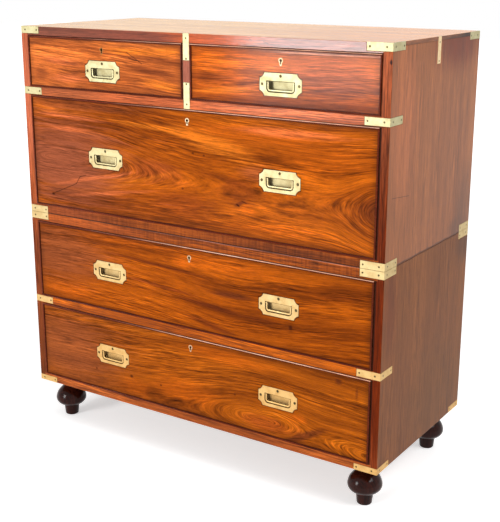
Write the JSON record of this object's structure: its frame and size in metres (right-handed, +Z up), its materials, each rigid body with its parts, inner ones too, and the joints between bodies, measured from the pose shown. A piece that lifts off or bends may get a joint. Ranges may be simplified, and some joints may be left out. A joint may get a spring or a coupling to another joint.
{
  "type": "campaign chest",
  "caption": "Two-part campaign chest of drawers with let-in brass straps, recessed bail handles and turned bun feet.",
  "frame": {"origin": "on the floor, under the middle of the chest", "axes": "+X to the chest's right seen from the front, +Y to its back, +Z up"},
  "size_m": [0.99, 0.451, 1.0215],
  "materials": {
    "front_wood": "polished figured mahogany, horizontal grain",
    "case_wood": "polished mahogany",
    "inner_wood": "bare pine and cedar",
    "foot_wood": "dark stained and polished",
    "brass": "worn satin brass",
    "iron": "bare, dull"
  },
  "bodies": {
    "lower_case": {"lower_side_left": "case_wood", "lower_side_right": "case_wood", "lower_top": "case_wood", "lower_bottom": "case_wood", "lower_rail": "case_wood", "lower_back": "inner_wood", "foot_front_left": "foot_wood", "foot_front_right": "foot_wood", "foot_back_left": "foot_wood", "foot_back_right": "foot_wood", "lower_seam_strap_left": "brass", "lower_seam_strap_right": "brass", "lower_rail_strap_left": "brass", "lower_rail_strap_right": "brass", "base_strap_left": "brass", "base_strap_right": "brass"},
    "upper_case": {"upper_side_left": "case_wood", "upper_side_right": "case_wood", "upper_top": "case_wood", "upper_bottom": "case_wood", "upper_rail": "case_wood", "upper_partition": "case_wood", "upper_back": "inner_wood", "top_strap_left": "brass", "top_strap_right": "brass", "upper_rail_strap_left": "brass", "upper_rail_strap_right": "brass", "upper_seam_strap_left": "brass", "upper_seam_strap_right": "brass"},
    "base_drawer": {"base_front": "front_wood", "base_box": "inner_wood", "base_left_handle_plate": "brass", "base_right_handle_plate": "brass"},
    "base_bolt": {"base_lock_bolt": "iron"},
    "middle_drawer": {"middle_front": "front_wood", "middle_box": "inner_wood", "middle_left_handle_plate": "brass", "middle_right_handle_plate": "brass"},
    "middle_bolt": {"middle_lock_bolt": "iron"},
    "deep_drawer": {"deep_front": "front_wood", "deep_box": "inner_wood", "deep_left_handle_plate": "brass", "deep_right_handle_plate": "brass"},
    "deep_bolt": {"deep_lock_bolt": "iron"},
    "short_left_drawer": {"short_left_front": "front_wood", "short_left_box": "inner_wood", "short_left_handle_plate": "brass"},
    "short_left_bolt": {"short_left_lock_bolt": "iron"},
    "short_right_drawer": {"short_right_front": "front_wood", "short_right_box": "inner_wood", "short_right_handle_plate": "brass"},
    "short_right_bolt": {"short_right_lock_bolt": "iron"},
    "base_left_handle_bail": {"base_left_handle_bail": "brass"},
    "base_right_handle_bail": {"base_right_handle_bail": "brass"},
    "middle_left_handle_bail": {"middle_left_handle_bail": "brass"},
    "middle_right_handle_bail": {"middle_right_handle_bail": "brass"},
    "deep_left_handle_bail": {"deep_left_handle_bail": "brass"},
    "deep_right_handle_bail": {"deep_right_handle_bail": "brass"},
    "short_left_handle_bail": {"short_left_handle_bail": "brass"},
    "short_right_handle_bail": {"short_right_handle_bail": "brass"}
  },
  "joints": [
    {"name": "upper_case_lift", "type": "slide", "parent": "lower_case", "child": "upper_case", "axis": [0, 0, 1], "range_m": [0, 0.12]},
    {"name": "base_drawer_slide", "type": "slide", "parent": "lower_case", "child": "base_drawer", "axis": [0, -1, 0], "range_m": [0, 0.34]},
    {"name": "base_bolt_slide", "type": "slide", "parent": "base_drawer", "child": "base_bolt", "axis": [0, 0, 1], "range_m": [0, 0.007]},
    {"name": "middle_drawer_slide", "type": "slide", "parent": "lower_case", "child": "middle_drawer", "axis": [0, -1, 0], "range_m": [0, 0.34]},
    {"name": "middle_bolt_slide", "type": "slide", "parent": "middle_drawer", "child": "middle_bolt", "axis": [0, 0, 1], "range_m": [0, 0.007]},
    {"name": "deep_drawer_slide", "type": "slide", "parent": "upper_case", "child": "deep_drawer", "axis": [0, -1, 0], "range_m": [0, 0.34]},
    {"name": "deep_bolt_slide", "type": "slide", "parent": "deep_drawer", "child": "deep_bolt", "axis": [0, 0, 1], "range_m": [0, 0.007]},
    {"name": "short_left_drawer_slide", "type": "slide", "parent": "upper_case", "child": "short_left_drawer", "axis": [0, -1, 0], "range_m": [0, 0.34]},
    {"name": "short_left_bolt_slide", "type": "slide", "parent": "short_left_drawer", "child": "short_left_bolt", "axis": [0, 0, 1], "range_m": [0, 0.007]},
    {"name": "short_right_drawer_slide", "type": "slide", "parent": "upper_case", "child": "short_right_drawer", "axis": [0, -1, 0], "range_m": [0, 0.34]},
    {"name": "short_right_bolt_slide", "type": "slide", "parent": "short_right_drawer", "child": "short_right_bolt", "axis": [0, 0, 1], "range_m": [0, 0.007]},
    {"name": "base_left_handle_bail_hinge", "type": "hinge", "parent": "base_drawer", "child": "base_left_handle_bail", "pos_m": [-0.24213, -0.2201, 0.22735], "axis": [-1, 0, 0], "range_deg": [0, 100]},
    {"name": "base_right_handle_bail_hinge", "type": "hinge", "parent": "base_drawer", "child": "base_right_handle_bail", "pos_m": [0.24213, -0.2201, 0.22735], "axis": [-1, 0, 0], "range_deg": [0, 100]},
    {"name": "middle_left_handle_bail_hinge", "type": "hinge", "parent": "middle_drawer", "child": "middle_left_handle_bail", "pos_m": [-0.24213, -0.2201, 0.44585], "axis": [-1, 0, 0], "range_deg": [0, 100]},
    {"name": "middle_right_handle_bail_hinge", "type": "hinge", "parent": "middle_drawer", "child": "middle_right_handle_bail", "pos_m": [0.24213, -0.2201, 0.44585], "axis": [-1, 0, 0], "range_deg": [0, 100]},
    {"name": "deep_left_handle_bail_hinge", "type": "hinge", "parent": "deep_drawer", "child": "deep_left_handle_bail", "pos_m": [-0.24213, -0.2201, 0.72485], "axis": [-1, 0, 0], "range_deg": [0, 100]},
    {"name": "deep_right_handle_bail_hinge", "type": "hinge", "parent": "deep_drawer", "child": "deep_right_handle_bail", "pos_m": [0.24213, -0.2201, 0.72485], "axis": [-1, 0, 0], "range_deg": [0, 100]},
    {"name": "short_left_handle_bail_hinge", "type": "hinge", "parent": "short_left_drawer", "child": "short_left_handle_bail", "pos_m": [-0.24213, -0.2201, 0.9291], "axis": [-1, 0, 0], "range_deg": [0, 100]},
    {"name": "short_right_handle_bail_hinge", "type": "hinge", "parent": "short_right_drawer", "child": "short_right_handle_bail", "pos_m": [0.24213, -0.2201, 0.9291], "axis": [-1, 0, 0], "range_deg": [0, 100]}
  ]
}
